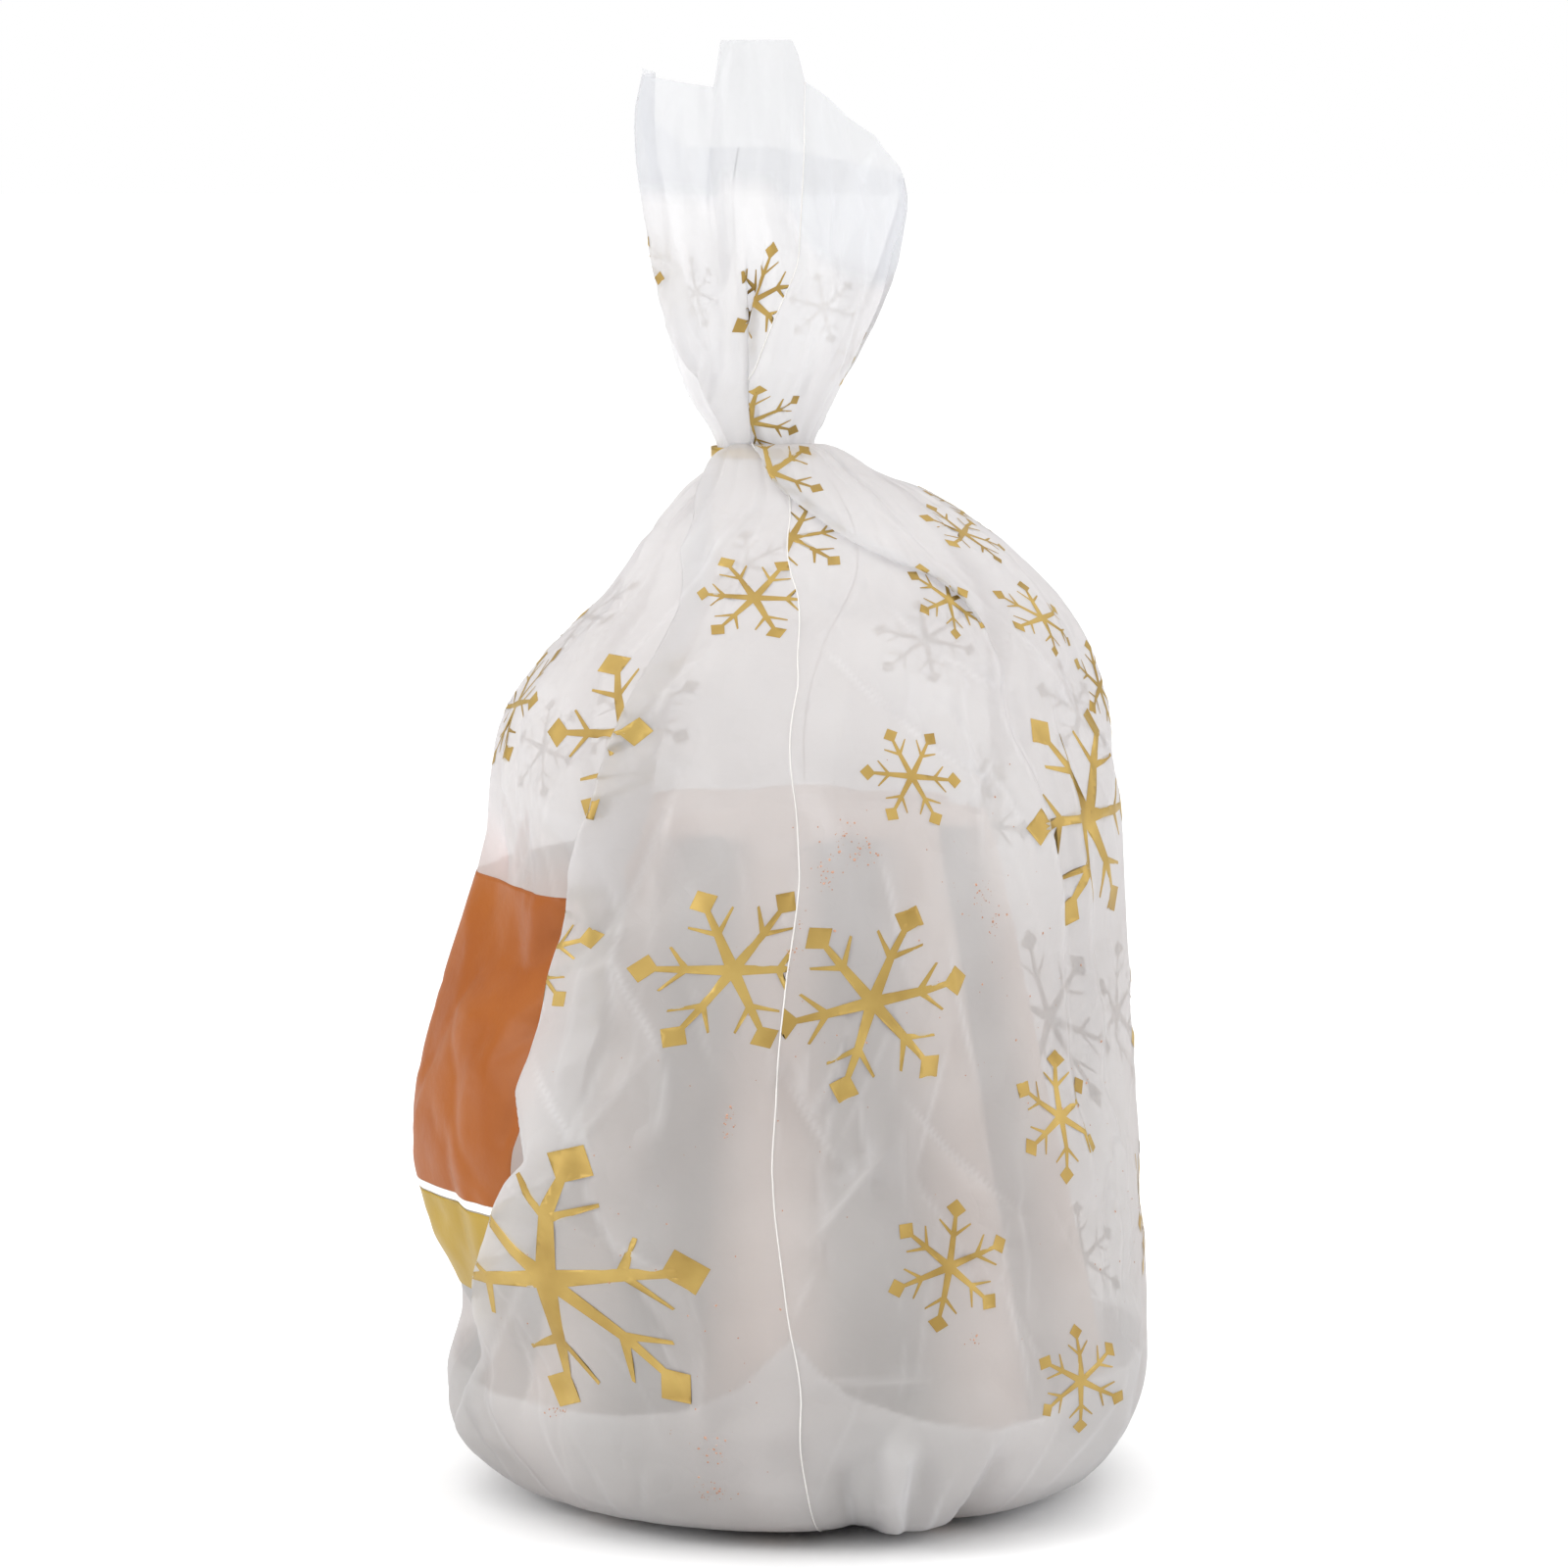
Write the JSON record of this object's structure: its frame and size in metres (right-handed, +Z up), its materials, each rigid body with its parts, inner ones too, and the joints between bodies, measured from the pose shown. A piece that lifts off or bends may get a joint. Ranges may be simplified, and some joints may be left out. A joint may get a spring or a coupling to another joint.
{
  "type": "bagged pandoro",
  "caption": "Tall star-shaped sweet cake standing in a milky printed gift bag, tied at the neck with a twist tie under an open ruffle.",
  "frame": {"origin": "on the resting surface, under the middle of the bag's bounding box", "axes": "+Z up through the knot and the ruffle, -X out of the bag's front panel, -Y and +Y out of its two side welds"},
  "size_m": [0.2262, 0.2194, 0.4449],
  "materials": {
    "printed_film": "satin",
    "gusset_film": "satin",
    "baked_crust": "matte",
    "sachet_paper": "satin",
    "tie_ribbon": "gloss",
    "gold_ink": "satin",
    "orange_ink": "satin"
  },
  "bodies": {
    "root": {"front_panel": "printed_film", "back_panel": "printed_film", "bottom_gusset": "gusset_film", "pandoro_loaf": "baked_crust", "sugar_sachet": "sachet_paper", "twist_tie": "tie_ribbon"}
  },
  "joints": []
}
